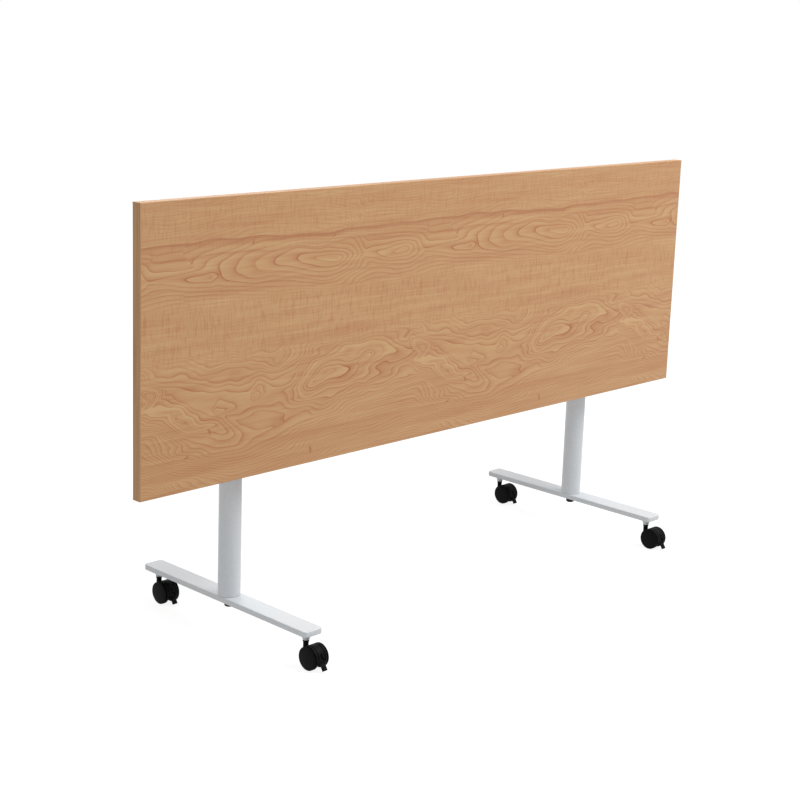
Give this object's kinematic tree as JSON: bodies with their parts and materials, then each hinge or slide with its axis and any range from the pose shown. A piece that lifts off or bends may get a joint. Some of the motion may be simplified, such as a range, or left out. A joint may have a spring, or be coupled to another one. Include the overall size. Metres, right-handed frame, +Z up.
{
  "type": "flip top training table",
  "caption": "Training table whose wood-laminate top flips up on edge for storage, on round columns with flat feet, braked castors and a squeeze release under the top.",
  "frame": {"origin": "on the floor, under the middle of the stowed table's bounding box", "axes": "+X along the top, +Y to the rear (the columns' side), +Z up; the stowed work surface faces -Y"},
  "size_m": [1.8, 0.587, 0.972],
  "materials": {
    "laminate": "satin wood-grain laminate on particle board",
    "edging": "satin wood-tone edge band",
    "silver_paint": "satin silver-grey powder coat",
    "black_paint": "satin black powder coat",
    "steel": "zinc-plated steel",
    "black_nylon": "moulded black nylon",
    "bush_polymer": "natural acetal",
    "grip_rubber": "matt soft-touch rubber"
  },
  "bodies": {
    "frame": {"cross_beam": "silver_paint", "foot_bar_left": "silver_paint", "column_left": "silver_paint", "column_plug_left": "steel", "column_bolt_left": "black_paint", "column_head_left": "silver_paint", "beam_cap_left": "black_nylon", "lock_quadrant_left": "steel", "foot_bar_right": "silver_paint", "column_right": "silver_paint", "column_plug_right": "steel", "column_bolt_right": "black_paint", "column_head_right": "silver_paint", "beam_cap_right": "black_nylon", "lock_quadrant_right": "steel", "front_left_castor_stem": "steel", "rear_left_castor_stem": "steel", "front_right_castor_stem": "steel", "rear_right_castor_stem": "steel"},
    "top": {"top_board": "laminate", "edge_band_upper": "edging", "edge_band_lower": "edging", "edge_band_left": "edging", "edge_band_right": "edging", "top_bracket_left": "black_paint", "bracket_cap_left": "black_paint", "pivot_bush_left": "bush_polymer", "release_spring_left": "steel", "top_bracket_right": "black_paint", "bracket_cap_right": "black_paint", "pivot_bush_right": "bush_polymer", "release_spring_right": "steel"},
    "release_bar": {"release_rod": "steel", "lock_pawl_left": "steel", "lock_pawl_right": "steel", "release_handle": "black_paint", "handle_grip": "grip_rubber"},
    "front_left_castor": {"front_left_castor_hood": "black_nylon", "front_left_castor_axle": "steel"},
    "front_left_wheel_left": {"front_left_wheel_left": "black_nylon"},
    "front_left_wheel_right": {"front_left_wheel_right": "black_nylon"},
    "front_left_brake": {"front_left_brake_lever": "black_nylon"},
    "rear_left_castor": {"rear_left_castor_hood": "black_nylon", "rear_left_castor_axle": "steel"},
    "rear_left_wheel_left": {"rear_left_wheel_left": "black_nylon"},
    "rear_left_wheel_right": {"rear_left_wheel_right": "black_nylon"},
    "rear_left_brake": {"rear_left_brake_lever": "black_nylon"},
    "front_right_castor": {"front_right_castor_hood": "black_nylon", "front_right_castor_axle": "steel"},
    "front_right_wheel_left": {"front_right_wheel_left": "black_nylon"},
    "front_right_wheel_right": {"front_right_wheel_right": "black_nylon"},
    "front_right_brake": {"front_right_brake_lever": "black_nylon"},
    "rear_right_castor": {"rear_right_castor_hood": "black_nylon", "rear_right_castor_axle": "steel"},
    "rear_right_wheel_left": {"rear_right_wheel_left": "black_nylon"},
    "rear_right_wheel_right": {"rear_right_wheel_right": "black_nylon"},
    "rear_right_brake": {"rear_right_brake_lever": "black_nylon"}
  },
  "joints": [
    {"name": "top_flip", "type": "hinge", "parent": "frame", "child": "top", "pos_m": [0, 0.0185, 0.672], "axis": [1, 0, 0], "range_deg": [-90, 0]},
    {"name": "release_turn", "type": "hinge", "parent": "top", "child": "release_bar", "pos_m": [0, -0.0235, 0.7098], "axis": [1, 0, 0], "range_deg": [-8.2, 0], "stiffness_Nm_per_rad": 1, "springref_deg": -22.92},
    {"name": "front_left_swivel", "type": "hinge", "parent": "frame", "child": "front_left_castor", "pos_m": [-0.6, -0.2315, 0.05], "axis": [0, 0, 1], "continuous": true},
    {"name": "front_left_roll_left", "type": "hinge", "parent": "front_left_castor", "child": "front_left_wheel_left", "pos_m": [-0.6, -0.2565, 0.02578], "axis": [1, 0, 0], "continuous": true},
    {"name": "front_left_roll_right", "type": "hinge", "parent": "front_left_castor", "child": "front_left_wheel_right", "pos_m": [-0.6, -0.2565, 0.02578], "axis": [1, 0, 0], "continuous": true},
    {"name": "front_left_brake_tilt", "type": "hinge", "parent": "front_left_castor", "child": "front_left_brake", "pos_m": [-0.6, -0.2685, 0.02178], "axis": [1, 0, 0], "range_deg": [-25, 0]},
    {"name": "rear_left_swivel", "type": "hinge", "parent": "frame", "child": "rear_left_castor", "pos_m": [-0.6, 0.2685, 0.05], "axis": [0, 0, 1], "continuous": true},
    {"name": "rear_left_roll_left", "type": "hinge", "parent": "rear_left_castor", "child": "rear_left_wheel_left", "pos_m": [-0.6, 0.2435, 0.02578], "axis": [1, 0, 0], "continuous": true},
    {"name": "rear_left_roll_right", "type": "hinge", "parent": "rear_left_castor", "child": "rear_left_wheel_right", "pos_m": [-0.6, 0.2435, 0.02578], "axis": [1, 0, 0], "continuous": true},
    {"name": "rear_left_brake_tilt", "type": "hinge", "parent": "rear_left_castor", "child": "rear_left_brake", "pos_m": [-0.6, 0.2315, 0.02178], "axis": [1, 0, 0], "range_deg": [-25, 0]},
    {"name": "front_right_swivel", "type": "hinge", "parent": "frame", "child": "front_right_castor", "pos_m": [0.6, -0.2315, 0.05], "axis": [0, 0, 1], "continuous": true},
    {"name": "front_right_roll_left", "type": "hinge", "parent": "front_right_castor", "child": "front_right_wheel_left", "pos_m": [0.6, -0.2565, 0.02578], "axis": [1, 0, 0], "continuous": true},
    {"name": "front_right_roll_right", "type": "hinge", "parent": "front_right_castor", "child": "front_right_wheel_right", "pos_m": [0.6, -0.2565, 0.02578], "axis": [1, 0, 0], "continuous": true},
    {"name": "front_right_brake_tilt", "type": "hinge", "parent": "front_right_castor", "child": "front_right_brake", "pos_m": [0.6, -0.2685, 0.02178], "axis": [1, 0, 0], "range_deg": [-25, 0]},
    {"name": "rear_right_swivel", "type": "hinge", "parent": "frame", "child": "rear_right_castor", "pos_m": [0.6, 0.2685, 0.05], "axis": [0, 0, 1], "continuous": true},
    {"name": "rear_right_roll_left", "type": "hinge", "parent": "rear_right_castor", "child": "rear_right_wheel_left", "pos_m": [0.6, 0.2435, 0.02578], "axis": [1, 0, 0], "continuous": true},
    {"name": "rear_right_roll_right", "type": "hinge", "parent": "rear_right_castor", "child": "rear_right_wheel_right", "pos_m": [0.6, 0.2435, 0.02578], "axis": [1, 0, 0], "continuous": true},
    {"name": "rear_right_brake_tilt", "type": "hinge", "parent": "rear_right_castor", "child": "rear_right_brake", "pos_m": [0.6, 0.2315, 0.02178], "axis": [1, 0, 0], "range_deg": [-25, 0]}
  ]
}
